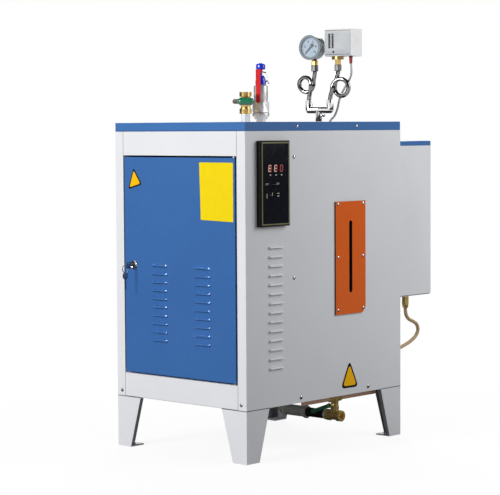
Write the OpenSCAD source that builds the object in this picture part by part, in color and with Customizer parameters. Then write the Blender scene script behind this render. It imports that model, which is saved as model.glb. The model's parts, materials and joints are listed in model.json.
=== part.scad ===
// Electric steam generator: a free-standing sheet-metal cabinet on four folded legs,
// with its fittings on the cover, a water tank on the back and drain piping below.
// Millimetres, Z up, front toward -Y.

/* [Cabinet] */
// width over the side panels
body_w = 505; // [440:5:620]
// depth from the front to the back, without the tank
body_d = 676; // [620:2:760]
// height of the cover above the floor
body_h = 930; // [900:5:1000]
// height of the legs
leg_h = 146; // [130:2:170]
// height of the cover skirt
cover_h = 25; // [18:1:32]
// thickness of the sheet metal
sheet = 2; // [1.5:0.5:2.5]
// width of the folded front edge of a side panel
post_w = 31.5; // [28:0.5:40]
// depth of the folded returns
return_d = 22; // [18:1:26]

/* [Legs] */
// width of a leg face at the top
leg_top_w = 93; // [80:1:110]
// width of a leg face at the floor
leg_foot_w = 52; // [46:1:58]
// side of the square foot plate
foot_w = 52; // [46:1:58]
// thickness of the leg plates
leg_t = 3; // [2:0.5:4]
// depth of the folded return along the slanted edge of a leg face
leg_return = 13; // [10:1:16]
// radius of the fixing hole in a foot plate
foot_hole_r = 6; // [4:0.5:8]

/* [Door] */
// height of the panel under the door
sill_h = 68; // [55:1:80]
// height of the panel above the door
head_h = 67; // [55:1:80]
// gap at the lock side, above and below the door
door_gap = 5; // [4:0.5:7]
// gap at the hinge side, wider because the edge swings
hinge_gap = 7; // [6:0.5:9]
// thickness of the door pan
door_t = 20; // [16:1:24]
// radius of the hinge pins
pin_r = 3.5; // [3:0.25:4]
// radial clearance of a hinge pin in the door
pin_play = 0.05; // [0.02:0.01:0.1]

/* [Louvres] */
// length of a louvre
louvre_l = 60; // [50:1:70]
// how far a louvre stands out
louvre_r = 6; // [5:0.5:9]
// thickness of a louvre hood
louvre_t = 1.5; // [1:0.5:2]
// louvres in a door column
door_rows = 10; // [4:1:10]
// spacing of the door louvres
door_pitch = 23.5; // [20:0.5:25]
// spacing of the side louvres
side_pitch = 25.6; // [22:0.2:27]

/* [Side fittings] */
// width of the control box
box_w = 121; // [100:1:140]
// height of the control box
box_h = 234; // [200:2:260]
// how far the control box stands out
box_t = 16; // [12:1:22]
// width of the sight glass cover
plate_w = 134; // [120:1:150]
// height of the sight glass cover above the legs
plate_lift = 234; // [220:1:250]
// distance of its upper edge below the cover skirt
plate_drop = 202; // [180:1:220]
// thickness of the sight glass cover
plate_t = 4; // [2:0.5:6]
// width of the viewing slot
slot_w = 14; // [10:1:18]
// distance of the viewing slot from the lower edge of its cover
slot_lift = 61; // [50:1:70]
// distance of the viewing slot from the upper edge of its cover
slot_drop = 55; // [50:1:70]

/* [Water tank] */
// depth of the water tank
tank_d = 162; // [140:2:190]
// height of the tank floor above the legs
tank_lift = 263; // [250:1:300]
// distance of the tank rim below the cover skirt
tank_drop = 47; // [40:1:60]
// height of the lid
lid_h = 14; // [10:1:18]
// how far the tank stands in from each side of the cabinet
tank_inset = 10; // [4:1:20]
// radius of the tank hose
hose_r = 5.5; // [4.5:0.5:7]

/* [Top fittings] */
// distance of the row of fittings to the right of the middle
row_x = 30; // [10:1:40]
// steam valve, distance in from the front of the drum
steam_in = 27; // [24:1:40]
// safety valve, distance behind the steam valve
safety_back = 65; // [60:1:75]
// gauge fork, distance in from the back of the drum
fork_in = 21; // [20:1:40]
// turn of the steam valve to the right
steam_turn = 35; // [20:1:40]
// turn of the safety valve to the right
safety_turn = 28; // [10:1:35]
// turn of the gauge fork to the right
fork_turn = 11; // [0:1:15]
// radius of the siphon tube
siphon_r = 6.5; // [5:0.5:7]
// radius of the right siphon loop
right_loop_r = 25; // [20:1:25]
// radius of the left siphon loop
left_loop_r = 22; // [18:1:24]
// radius of the gauge
gauge_r = 37; // [32:1:38]
// depth of the gauge
gauge_d = 38; // [32:1:42]

/* [Boiler and drain] */
// space between the boiler drum and the right side panel
drum_gap = 57.5; // [50:0.5:65]
// distance of the drain pipe below the cabinet
drain_drop = 63; // [60:1:70]
// radius of the drain pipe
drain_r = 12; // [10:0.5:13]

/* [Hidden] */
$fn = 48;
// reach of the keys in front of the door
key_reach = 54;
// middle of the cabinet in the frame of the whole part
cab_y = -(tank_d - key_reach) / 2;
x1 = body_w / 2;
y1 = body_d / 2;
seam_z = body_h - cover_h;
// inner edge of the folded front edges
jamb_x = x1 - post_w;
rail_play = 0.8;
door_x0 = -jamb_x + door_gap;
door_x1 = jamb_x - hinge_gap;
door_z0 = leg_h + sill_h + door_gap;
door_z1 = seam_z - head_h - door_gap;
// hinge axis
pin_x = door_x1 - 8;
pin_y = -y1 + 6;
pin_bury = 6;
pin_len = door_gap + sheet + pin_bury;
// lock and keys
lock_x = door_x0 + 40;
lock_z = (door_z0 + door_z1) / 2;
lock_r = 6;
lock_face_r = 8;
lock_face_t = 5;
bow_r = 10;
key_t = 2;
ring_r = 11;
// louvres
louvre_x = [door_x0 + 139, door_x1 - 124];
door_first_z = door_z0 + 307.5;
louvre_mouth = 2.5;
lip_gap = 1;
// control box
box_y = -y1 + 45;
box_z = seam_z - 26 - box_h;
box_bevel = 3;
face_t = 2.5;
face_rim = 8;
face_play = 0.2;
face_sink = 0.5;
knob_r = 4;
knob_l = 5;
// seam between a leg and the panels, and edge of the flange behind it
leg_seam = 1.2;
flange_in = 1.5;
// boiler
drum_x = 10;
drum_y = 65;
drum_r = x1 - drum_x - drum_gap;
drum_t = 5;
drum_z0 = leg_h + sheet;
skirt_h = 66;
boss_z = body_h - 50;
boss_r = 18;
head_z = boss_z - 80;
// dished end: crown height inside, knuckle and rim
crown_h = 34;
crown_in = 70;
knuckle_h = 18;
knuckle_in = 25;
pad_x = drum_x + drum_r + 6;
pad_r = 12;
// side louvres, under the control box
side_louvre_y = -y1 + 121;
side_first_z = box_z - 60.5;
side_rows = floor((side_first_z - leg_h - 100) / side_pitch) + 1;
// sight glass
glass_y = drum_y + 37.6;
glass_r = 7;
glass_t = 2;
glass_x = x1 - sheet - glass_r - 3.5;
plate_z = leg_h + plate_lift;
plate_h = seam_z - plate_drop - plate_z;
corner_w = 14;
slot_z = plate_z + slot_lift;
slot_h = plate_h - slot_lift - slot_drop;
cock_gap = 30;
cock_z0 = slot_z - cock_gap;
cock_z1 = slot_z + slot_h + cock_gap;
cock_l = 28;
cock_r = 10;
cock_arm_r = 7;
// tank
tank_x = x1 - tank_inset;
tank_z = leg_h + tank_lift;
tank_h = seam_z - tank_drop - tank_z;
hose_x = x1 - 37;
hose_y = y1 + 72;
hose_in_z = tank_z - 160;
hose_top = tank_z - 37;
tail_r = 8;
tail_nut_r = 11;
// steam valve
steam_y = drum_y - drum_r + steam_in;
steam_z = body_h + 24;
nipple_r = 13.5;
hex_r = 17.5;
bore_r = 9.3;
socket_l = 15;
valve_l = 62;
stem_z = 35;
stem_out = 28;
stem_r = 4;
strip_w = 14;
strip_t = 2.5;
strip_x0 = -27;
strip_x1 = 22;
grip_r = 11;
grip_x0 = -8;
grip_x1 = 18;
// safety valve
safety_y = steam_y + safety_back;
safety_z = body_h + 8;
bonnet_r = 20.5;
cap_z = safety_z + 100;
lever_z = cap_z + 37;
lever_w = 14;
lever_tip_r = 6.2;
lever_l = 84;
pivot_out = 18;
pivot_r = 2.5;
// gauge fork
fork_y = drum_y + drum_r - fork_in;
fork_z = body_h + 36;
fork_r = 10;
arm_z = body_h + 66;
left_arm = -33;
right_arm = 39;
gauge_x = -13;
switch_x = 66;
// where each siphon loop starts and ends
left_loop_x = gauge_x - 9;
right_loop_x = switch_x - 15;
// small test tap on the fork
tap_z = body_h + 20;
tap_l = 17;
left_loop_z = body_h + 112;
right_loop_z = body_h + 102;
nut_z = body_h + 151;
nut_r = 12;
nut_h = 18;
// gauge
adapter_h = 14;
gauge_z = body_h + 221;
gauge_c_y = -11;
bezel_w = 7.5;
gauge_stem_r = 7;
// pressure switch
switch_foot_h = 25;
switch_z = nut_z + nut_h + switch_foot_h;
switch_w = 93;
switch_d = 64;
switch_h = 80;
switch_bevel = 3;
switch_left = switch_x - 38;
switch_front = -16;
// scale window and adjusting screw of the switch
window_x = 14;
window_z = 22;
window_w = 19;
window_h = 45;
window_sink = 2;
adjust_x = 32;
adjust_z = 12;
adjust_r = 3.5;
boot_h = 22;
boot_x = switch_x + 38;
boot_y = 10;
cable_r = 3.2;
// drain
drain_z = leg_h - drain_drop;
drain_y = drum_y + 19;
sleeve_x = drum_x + 98;
tee_x0 = x1 - 72;
tee_x1 = x1 - 16;
tee_r = 13.5;
branch_x = x1 - 42;
wide_r = drain_r + 4;
union_r = drain_r + 7.5;
union_l = 14;
branch_r = 11;
valve_z = drain_z + 18;
spindle_r = 3;
lever_hub_z = valve_z + 13;
lever_out = 24;
drain_lever_l = 66;
elbow_r = 9;
elbow_l = 24;
lever_dip = 20;
lever_hub_r = 7;
lever_half = 5.5;
feed_z = leg_h - 14;
feed_r = 6;
feed_back_y = y1 - 74;
feed_front_y = drain_y - 140;

// paint and metal colours
pale = [0.90, 0.90, 0.91];
blue = [0.26, 0.43, 0.67];
orange = [0.75, 0.33, 0.12];
black = [0.08, 0.08, 0.09];
brass = [0.78, 0.65, 0.35];
green = [0.10, 0.49, 0.33];
red = [0.84, 0.18, 0.20];
steel = [0.62, 0.62, 0.63];
chrome = [0.80, 0.80, 0.82];
copper = [0.71, 0.40, 0.27];
drum_grey = [0.72, 0.73, 0.75];

function ease(t) = t * t * (3 - 2 * t);
function mix(a, b, t) = a + (b - a) * t;
function unit(v) = v / norm(v);
function way(p, i) = unit(p[min(i + 1, len(p) - 1)] - p[max(i - 1, 0)]);
function ring_at(c, t, ref, r, n) = let (a = unit(cross(ref, t)), b = cross(t, a))
    [for (k = [0 : n - 1]) c + r * (a * cos(360 * k / n) + b * sin(360 * k / n))];
// smooth curve through route points
function blend(a, b, c, d, t) = 0.5 * (2 * b + (c - a) * t + (2 * a - 5 * b + 4 * c - d) * t * t
    + (3 * b - a - 3 * c + d) * t * t * t);
function curve(p, n) = let (m = len(p) - 1) concat([for (i = [0 : m - 1]) for (k = [0 : n - 1])
    blend(p[max(i - 1, 0)], p[i], p[i + 1], p[min(i + 2, m)], k / n)], [p[m]]);
// one siphon: up from the fork arm, once around, and up to the union nut
function siphon_path(side, r, arm, in, top, z0, zc, z1) =
    let (mid = in + side * r, p = siphon_r + 1) concat(
    [for (i = [0 : 5]) [mix(arm, in, ease(i / 6)), mix(0, -p, ease(i / 6)), mix(z0, zc, i / 6)]],
    [for (t = [0 : 15 : 360]) [mid - side * r * cos(t), mix(-p, p, t / 360), zc + r * sin(t)]],
    [for (i = [1 : 6]) [mix(in, top, ease(i / 6)), mix(p, 0, ease(i / 6)), mix(zc, z1, i / 6)]]);

module in_cabinet() {
    translate([0, cab_y, 0]) children();
}

// round tube swept along a path; its end faces look along first and last
module tube(path, r, ref, first, last, n = 10) {
    m = len(path);
    aim = function (i) i == 0 ? first : i == m - 1 ? last : way(path, i);
    points = [for (i = [0 : m - 1]) each ring_at(path[i], aim(i), ref, r, n)];
    quads = [for (i = [0 : m - 2]) for (k = [0 : n - 1])
        [i * n + k, (i + 1) * n + k, (i + 1) * n + (k + 1) % n, i * n + (k + 1) % n]];
    sides = [for (q = quads) each [[q[0], q[1], q[2]], [q[0], q[2], q[3]]]];
    ends = [[for (k = [0 : n - 1]) k], [for (k = [n - 1 : -1 : 0]) (m - 1) * n + k]];
    polyhedron(points = points, faces = concat(sides, ends));
}

module rod(r, l, dir) {
    rotate(dir == "x" ? [0, 90, 0] : dir == "y" ? [-90, 0, 0] : [0, 0, 0]) cylinder(r = r, h = l);
}

module hex(r, h) {
    cylinder(r = r, h = h, $fn = 6);
}

// pressed hood along X that opens downward and stands out toward -Y
module louvre_hood() {
    intersection() {
        difference() {
            louvre_round(louvre_r);
            louvre_round(louvre_r - louvre_t);
        }
        translate([-louvre_l / 2, -louvre_r, 0]) cube([louvre_l, louvre_r, louvre_r]);
    }
}

module louvre_round(r) {
    half = louvre_l / 2 - louvre_r;
    translate([-half, 0, 0]) rod(r, 2 * half, "x");
    translate([-half, 0, 0]) sphere(r = r);
    translate([half, 0, 0]) sphere(r = r);
}

module louvre_slot() {
    half = louvre_l / 2 - louvre_r;
    translate([-half, -sheet, -lip_gap]) cube([2 * half, 3 * sheet, louvre_mouth + lip_gap]);
}

module door_louvre_places() {
    for (x = louvre_x) {
        for (i = [0 : door_rows - 1]) {
            translate([x, -y1, door_first_z - door_pitch * i]) children();
        }
    }
}

module side_louvre_places() {
    for (i = [0 : side_rows - 1]) {
        translate([x1, side_louvre_y, side_first_z - side_pitch * i]) rotate([0, 0, 90]) children();
    }
}

// side panel folded round the front and back edges
module side_sheet() {
    h = seam_z - leg_h;
    translate([x1 - sheet, -y1, leg_h]) cube([sheet, body_d, h]);
    translate([jamb_x, -y1, leg_h]) cube([post_w, sheet, h]);
    translate([jamb_x, -y1, leg_h]) cube([sheet, return_d, h]);
    translate([x1 - return_d, y1 - sheet, leg_h]) cube([return_d, sheet, h]);
}

module louvred_side() {
    difference() {
        side_sheet();
        side_louvre_places() louvre_slot();
    }
    side_louvre_places() louvre_hood();
}

module right_side_panel() {
    color(pale) in_cabinet() difference() {
        louvred_side();
        translate([x1 - 2 * sheet, glass_y - slot_w, slot_z - slot_w / 2])
            cube([3 * sheet, 2 * slot_w, slot_h + slot_w]);
    }
}

module left_side_panel() {
    color(pale) in_cabinet() mirror([1, 0, 0]) louvred_side();
}

module back_panel() {
    color(pale) in_cabinet() difference() {
        translate([-x1 + sheet, y1 - 2 * sheet, drum_z0]) cube([body_w - 2 * sheet, sheet, seam_z - drum_z0]);
        translate([hose_x, y1 - 3 * sheet, hose_in_z]) rod(tail_r, 4 * sheet, "y");
    }
}

module base_pan() {
    inner_w = body_w - 2 * sheet;
    color(pale) in_cabinet() difference() {
        union() {
            translate([-inner_w / 2, -y1 + return_d, leg_h])
                cube([inner_w, body_d - return_d - sheet, sheet]);
            translate([-jamb_x, -y1 + sheet, leg_h]) cube([2 * jamb_x, return_d, sheet]);
        }
        translate([drum_x, drain_y, leg_h - 1]) cylinder(r = drain_r + 3, h = sheet + 2);
    }
}

module top_cover() {
    color(blue) in_cabinet() difference() {
        translate([-x1, -y1, seam_z]) cube([body_w, body_d, cover_h]);
        translate([-x1 + sheet, -y1 + sheet, seam_z - 1])
            cube([body_w - 2 * sheet, body_d - 2 * sheet, cover_h - sheet + 1]);
        translate([row_x, steam_y, seam_z]) cylinder(r = nipple_r + 2, h = cover_h + 1);
        translate([row_x, safety_y, seam_z]) cylinder(r = nipple_r + 2, h = cover_h + 1);
        translate([row_x, fork_y, seam_z]) cylinder(r = fork_r + 2, h = cover_h + 1);
    }
}

// folded channel between the two side panels; its flange lies at the door
module rail(z, h, flange_z) {
    translate([-jamb_x + rail_play, -y1, z]) cube([2 * jamb_x - 2 * rail_play, sheet, h]);
    translate([-jamb_x, -y1 + sheet, z]) cube([2 * jamb_x, sheet, h]);
    translate([-jamb_x, -y1 + sheet, flange_z]) cube([2 * jamb_x, return_d - sheet, sheet]);
}

module top_rail() {
    z = seam_z - head_h;
    color(pale) in_cabinet() difference() {
        rail(z, head_h, z);
        translate([pin_x, pin_y, z - 1]) cylinder(r = pin_r, h = sheet + 2);
    }
}

module bottom_rail() {
    color(pale) in_cabinet() difference() {
        rail(leg_h + sheet, sill_h - sheet, leg_h + sill_h - sheet);
        translate([pin_x, pin_y, leg_h + sill_h - sheet - 1]) cylinder(r = pin_r, h = sheet + 2);
    }
}

// one tapered face of a leg with its folded return, drawn in XZ from the corner
module leg_face() {
    top = leg_h - leg_seam;
    translate([0, leg_t, 0]) rotate([90, 0, 0]) linear_extrude(leg_t)
        polygon([[0, 0], [leg_foot_w, 0], [leg_top_w, top], [0, top]]);
    translate([0, leg_return, 0]) rotate([90, 0, 0]) linear_extrude(leg_return)
        polygon([[leg_foot_w - leg_t, 0], [leg_foot_w, 0], [leg_top_w, top], [leg_top_w - leg_t, top]]);
}

// leg for the front left corner
module leg() {
    color(pale) difference() {
        union() {
            leg_face();
            mirror([1, -1, 0]) leg_face();
            cube([foot_w, foot_w, leg_t + 1]);
            translate([flange_in, flange_in, leg_h - leg_t])
                cube([foot_w - flange_in, foot_w - flange_in, leg_t]);
        }
        translate([foot_w * 0.6, foot_w * 0.6, -1]) cylinder(r = foot_hole_r, h = leg_t + 3);
    }
}

module front_left_leg() {
    in_cabinet() translate([-x1, -y1, 0]) leg();
}

module front_right_leg() {
    in_cabinet() mirror([1, 0, 0]) translate([-x1, -y1, 0]) leg();
}

module rear_left_leg() {
    in_cabinet() mirror([0, 1, 0]) translate([-x1, -y1, 0]) leg();
}

module rear_right_leg() {
    in_cabinet() rotate([0, 0, 180]) translate([-x1, -y1, 0]) leg();
}

// door pan with pressed louvres
module door() {
    w = door_x1 - door_x0;
    h = door_z1 - door_z0;
    color(blue) in_cabinet() {
        difference() {
            translate([door_x0, -y1, door_z0]) cube([w, door_t, h]);
            translate([door_x0 + sheet, -y1 + sheet, door_z0 + sheet])
                cube([w - 2 * sheet, door_t, h - 2 * sheet]);
            door_louvre_places() louvre_slot();
            translate([pin_x, pin_y, door_z0 - 1]) cylinder(r = pin_r + pin_play, h = sheet + 2);
            translate([pin_x, pin_y, door_z1 - sheet - 1]) cylinder(r = pin_r + pin_play, h = sheet + 2);
            translate([lock_x, -y1 - 1, lock_z]) rod(lock_r, sheet + 2, "y");
        }
        door_louvre_places() louvre_hood();
    }
}

module door_lock() {
    color(steel) in_cabinet() translate([lock_x, -y1, lock_z]) {
        translate([0, -lock_face_t, 0]) rod(lock_face_r, lock_face_t, "y");
        rod(lock_r, door_t + sheet, "y");
        translate([-14, door_t - sheet, -lock_r - 1]) cube([22, 3, 2 * lock_r + 2]);
    }
}

// key in the lock, ring, and a second key hanging from the ring
module door_keys() {
    hang_y = -2 * bow_r - lock_face_t - 9;
    color(chrome) in_cabinet() translate([lock_x, -y1 - lock_face_t, lock_z]) {
        translate([-key_t / 2, -bow_r - 2, -3]) cube([key_t, bow_r + 2, 6]);
        translate([0, -2 * bow_r, 0]) key_bow();
        translate([0, hang_y, 2 - ring_r]) rotate([0, 90, 0]) rotate_extrude()
            translate([ring_r, 0]) circle(r = 1.2, $fn = 16);
        translate([0, hang_y, -2 * ring_r - 7]) key_bow();
        translate([-key_t / 2, hang_y - 3, -68]) cube([key_t, 6, 32]);
    }
}

module key_bow() {
    translate([-key_t / 2, 0, 0]) rotate([0, 90, 0]) difference() {
        cylinder(r = bow_r, h = key_t);
        translate([-bow_r / 2, 0, -1]) cylinder(r = bow_r / 4, h = key_t + 2);
    }
}

module hinge_pins() {
    color(steel) in_cabinet() {
        translate([pin_x, pin_y, door_z1 - sheet - pin_bury / 2]) cylinder(r = pin_r, h = pin_len);
        translate([pin_x, pin_y, door_z0 + sheet + pin_bury / 2 - pin_len]) cylinder(r = pin_r, h = pin_len);
    }
}

module control_box() {
    color(black) in_cabinet() difference() {
        hull() {
            translate([x1, box_y, box_z]) cube([box_t - box_bevel, box_w, box_h]);
            translate([x1, box_y + box_bevel, box_z + box_bevel])
                cube([box_t, box_w - 2 * box_bevel, box_h - 2 * box_bevel]);
        }
        translate([x1 + box_t - face_t, box_y + face_rim, box_z + face_rim])
            cube([face_t + 1, box_w - 2 * face_rim, box_h - 2 * face_rim]);
    }
}

// glossy plate set into the control box, with two small knobs
module control_faceplate() {
    edge = face_rim + face_play;
    mid_y = box_y + box_w / 2;
    color([0.03, 0.03, 0.05]) in_cabinet() {
        translate([x1 + box_t - face_t, box_y + edge, box_z + edge])
            cube([face_t - face_sink, box_w - 2 * edge, box_h - 2 * edge]);
        translate([x1 + box_t - face_sink, mid_y - 6, box_z + box_h - 123]) rod(knob_r, knob_l, "x");
        translate([x1 + box_t - face_sink, mid_y - 18, box_z + box_h - 153]) rod(knob_r, knob_l, "x");
    }
}

module sight_glass_cover() {
    y0 = glass_y - plate_w / 2;
    color(orange) in_cabinet() translate([x1, 0, 0]) rotate([90, 0, 90])
        linear_extrude(plate_t) difference() {
        polygon([[y0, plate_z], [y0 + plate_w - corner_w, plate_z], [y0 + plate_w, plate_z + corner_w],
            [y0 + plate_w, plate_z + plate_h], [y0, plate_z + plate_h]]);
        translate([glass_y - slot_w / 2, slot_z + slot_w / 2]) square([slot_w, slot_h - slot_w]);
        translate([glass_y, slot_z + slot_w / 2]) circle(d = slot_w);
        translate([glass_y, slot_z + slot_h - slot_w / 2]) circle(d = slot_w);
    }
}

module sight_glass() {
    color([0.75, 0.85, 0.85, 0.6]) in_cabinet() translate([glass_x, glass_y, cock_z0]) difference() {
        cylinder(r = glass_r, h = cock_z1 - cock_z0);
        translate([0, 0, -1]) cylinder(r = glass_r - glass_t, h = cock_z1 - cock_z0 + 2);
    }
}

// brass cocks that join the sight glass to the boiler
module sight_glass_cocks() {
    reach = glass_x - pad_x;
    color(brass) in_cabinet() for (z = [cock_z0 - cock_l, cock_z1]) {
        translate([glass_x, glass_y, z]) cylinder(r = cock_r, h = cock_l);
        translate([pad_x, glass_y, z + cock_l / 2]) rod(cock_arm_r, reach, "x");
    }
}

// four walls of the open tank
module water_tank() {
    color(pale) in_cabinet() difference() {
        translate([-tank_x, y1, tank_z]) cube([2 * tank_x, tank_d, tank_h]);
        translate([-tank_x + sheet, y1 + sheet, tank_z - 1])
            cube([2 * tank_x - 2 * sheet, tank_d - 2 * sheet, tank_h + 2]);
    }
}

module tank_floor() {
    color(pale) in_cabinet() translate([-tank_x + sheet, y1 + sheet, tank_z])
        cube([2 * tank_x - 2 * sheet, tank_d - 2 * sheet, sheet]);
}

module tank_lid() {
    color(blue) in_cabinet() translate([-tank_x, y1, tank_z + tank_h]) difference() {
        cube([2 * tank_x, tank_d, lid_h]);
        translate([sheet, sheet, -1]) cube([2 * tank_x - 2 * sheet, tank_d - 2 * sheet, lid_h - sheet + 1]);
    }
}

// hose tails under the tank and on the back panel
module hose_fittings() {
    color(brass) in_cabinet() {
        translate([hose_x, hose_y, hose_top + 8]) hex(tail_nut_r, tank_z - hose_top - 8);
        translate([hose_x, hose_y, hose_top]) cylinder(r = tail_r + 1, h = 9);
        translate([hose_x, y1 - sheet, hose_in_z]) rod(tail_r + 4, 12, "y");
        translate([hose_x, y1 - 2 * sheet - 6, hose_in_z]) rod(tail_r, 2 * sheet + 6, "y");
    }
}
// route of the hose from the tank to the back panel
hose_route = [[0, 72, -37], [0, 72.5, -48], [0, 77, -62], [0, 90, -74], [0, 110, -82], [0, 127, -92],
    [0, 134, -108], [0, 126, -124], [0, 104, -138], [0, 76, -148], [0, 40, -157], [0, 20, -160],
    [0, 10, -160]];

module tank_hose() {
    color([0.59, 0.49, 0.37]) in_cabinet() translate([hose_x, y1, tank_z])
        tube(curve(hose_route, 4), hose_r, [1, 0, 0], [0, 0, -1], [0, -1, 0]);
}

// shell of the vertical drum; its lower end is the skirt it stands on
module drum_shell() {
    color(drum_grey) in_cabinet() difference() {
        union() {
            translate([drum_x, drum_y, drum_z0]) cylinder(r = drum_r, h = head_z - drum_z0, $fn = 72);
            for (z = [cock_z0 - cock_l / 2, cock_z1 + cock_l / 2]) {
                translate([drum_x + drum_r - 40, glass_y, z]) rod(pad_r, pad_x - drum_x - drum_r + 40, "x");
            }
        }
        translate([drum_x, drum_y, drum_z0 - 1])
            cylinder(r = drum_r - drum_t, h = head_z - drum_z0 + 2, $fn = 72);
    }
}

// dished top end with a boss for each fitting
module drum_top_head() {
    color(drum_grey) in_cabinet() {
        translate([drum_x, drum_y, head_z]) rotate_extrude($fn = 72)
            polygon([[0, crown_h], [drum_r - crown_in, crown_h - 4], [drum_r - knuckle_in, knuckle_h],
            [drum_r - drum_t, 0], [drum_r, 0],
            [drum_r - knuckle_in + drum_t, knuckle_h + drum_t], [drum_r - crown_in, crown_h + drum_t - 3],
            [0, crown_h + drum_t]]);
        for (y = [steam_y, safety_y, fork_y]) {
            translate([row_x, y, head_z + drum_t]) cylinder(r = boss_r, h = boss_z - head_z - drum_t);
        }
    }
}

// flat lower end inside the skirt, where the drain pipe joins
module drum_bottom_head() {
    color(drum_grey) in_cabinet() translate([drum_x, drum_y, drum_z0 + skirt_h])
        cylinder(r = drum_r - drum_t, h = drum_t, $fn = 72);
}

module steam_nipple() {
    color(chrome) in_cabinet() translate([row_x, steam_y, boss_z]) difference() {
        cylinder(r = nipple_r, h = steam_z - boss_z);
        translate([0, 0, -1]) cylinder(r = 8, h = steam_z - boss_z + 2);
    }
}

module at_steam_valve() {
    in_cabinet() translate([row_x, steam_y, steam_z]) rotate([0, 0, steam_turn]) children();
}

module steam_valve_body() {
    color(brass) at_steam_valve() difference() {
        union() {
            hex(hex_r, 14);
            rotate_extrude() polygon([[0, 10], [15, 10], [15, 15], [13, 20], [16, 25], [16, 45], [13, 49],
                [13, 52], [0, 52]]);
            translate([0, 0, valve_l - 13]) hex(hex_r, 13);
            translate([0, -stem_out + 5, stem_z]) rod(2 * stem_r, stem_out - 5, "y");
            translate([0, -stem_out - stem_r, stem_z]) rod(stem_r, 12, "y");
        }
        translate([0, 0, valve_l - socket_l]) cylinder(r = bore_r, h = socket_l + 1);
    }
}

// flat steel strip of the quarter-turn handle, drawn across the pipe
module handle_strip() {
    translate([strip_x0, -strip_t, 0]) rod(strip_w / 2, strip_t, "y");
    translate([strip_x0, -strip_t, -strip_w / 2]) cube([strip_x1 - strip_x0, strip_t, strip_w]);
}

module steam_valve_handle() {
    color(steel) at_steam_valve() translate([0, -stem_out, stem_z]) difference() {
        handle_strip();
        translate([0, -2 * strip_t, 0]) rod(stem_r + pin_play, 3 * strip_t, "y");
    }
}

// half outline of the sleeve on the handle
module grip_outline() {
    intersection() {
        union() {
            translate([0, grip_x0]) circle(r = grip_r);
            translate([0, grip_x1]) circle(r = grip_r);
            translate([0, grip_x0]) square([grip_r, grip_x1 - grip_x0]);
        }
        translate([0, grip_x0 - grip_r]) square([grip_r, grip_x1 - grip_x0 + 2 * grip_r]);
    }
}

// sleeve over the strip, flat at the back
module steam_valve_grip() {
    color(green) at_steam_valve() translate([0, -stem_out, stem_z]) difference() {
        translate([0, -grip_r / 2, 0]) rotate([0, 90, 0]) rotate_extrude() grip_outline();
        translate([grip_x0 - 2 * grip_r, 1, -2 * grip_r])
            cube([grip_x1 - grip_x0 + 4 * grip_r, 2 * grip_r, 4 * grip_r]);
        handle_strip();
        translate([0, -2 * stem_r, 0]) rod(stem_r + 1, 3 * stem_r, "y");
    }
}

module at_safety_valve() {
    in_cabinet() translate([row_x, safety_y, 0]) rotate([0, 0, safety_turn]) children();
}

module safety_valve_body() {
    color(steel) at_safety_valve() {
        translate([0, 0, safety_z]) rotate_extrude() polygon([[0, boss_z - safety_z],
            [nipple_r, boss_z - safety_z], [nipple_r, 0], [18, 0], [20, 7], [24, 8], [24.5, 10], [24.5, 18],
            [22, 21], [20, 21], [20, 49], [bonnet_r, 52], [bonnet_r, 55], [bonnet_r - 1, 56],
            [bonnet_r - 1, 58], [bonnet_r, 59], [bonnet_r, 96], [18, 99], [16, 100], [0, 100]]);
        translate([0, 0, safety_z + 20]) hex(25, 30);
    }
}

module safety_valve_cap() {
    color([0.16, 0.24, 0.70]) at_safety_valve() difference() {
        union() {
            translate([0, 0, cap_z]) rotate_extrude() polygon([[0, 0], [15.5, 0], [15.5, 8], [14.5, 15],
                [12, 22], [8, 26.5], [5, 27], [5, 43], [11.5, 43], [13.5, 45], [13.5, 56], [11.5, 60],
                [7, 62], [0, 62]]);
            translate([-4, -pivot_out - 4, lever_z - 6]) cube([8, pivot_out + 4, 11]);
        }
        translate([-lever_w, -pivot_out, lever_z]) rod(pivot_r + pin_play, 2 * lever_w, "x");
    }
}

// hanging test lever with its pivot pin
module safety_valve_lever() {
    color(red) at_safety_valve() translate([0, -pivot_out, lever_z]) {
        translate([-lever_w / 2, 0, 0]) rod(pivot_r, lever_w, "x");
        for (x = [-lever_w / 2, lever_w / 2 - 3]) {
            translate([x, -12, -5]) cube([3, 16, 10]);
        }
        translate([0, -11, 0]) rotate([90, 0, 0]) linear_extrude(2.5) {
            polygon([[-lever_w / 2, 6], [lever_w / 2, 6], [lever_tip_r, -lever_l], [-lever_tip_r, -lever_l]]);
            translate([0, -lever_l]) circle(r = lever_tip_r);
        }
    }
}

module at_fork() {
    in_cabinet() translate([row_x, fork_y, 0]) rotate([0, 0, fork_turn]) children();
}

module gauge_fork() {
    color(chrome) at_fork() {
        translate([0, 0, boss_z]) cylinder(r = fork_r - 0.7, h = fork_z - boss_z);
        translate([0, 0, tap_z]) rod(3.5, tap_l, "x");
        translate([tap_l, 0, tap_z]) sphere(r = 5);
        translate([left_arm, 0, fork_z]) rod(fork_r, right_arm - left_arm, "x");
        for (x = [left_arm, right_arm]) {
            translate([x, 0, fork_z]) sphere(r = fork_r);
            translate([x, 0, fork_z]) cylinder(r = fork_r, h = arm_z - fork_z - 1);
            translate([x, 0, arm_z - fork_r]) hex(fork_r + 2.5, fork_r);
        }
    }
}

module left_siphon() {
    path = siphon_path(-1, left_loop_r, left_arm, left_loop_x, gauge_x, arm_z, left_loop_z, nut_z);
    color(chrome) at_fork() tube(path, siphon_r, [0, 1, 0], [0, 0, 1], [0, 0, 1]);
}

module right_siphon() {
    path = siphon_path(1, right_loop_r, right_arm, right_loop_x, switch_x, arm_z, right_loop_z, nut_z);
    color(chrome) at_fork() tube(path, siphon_r, [0, 1, 0], [0, 0, 1], [0, 0, 1]);
}

module union_nuts() {
    color(steel) at_fork() for (x = [gauge_x, switch_x]) {
        translate([x, 0, nut_z]) hex(nut_r, nut_h);
    }
}

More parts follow.
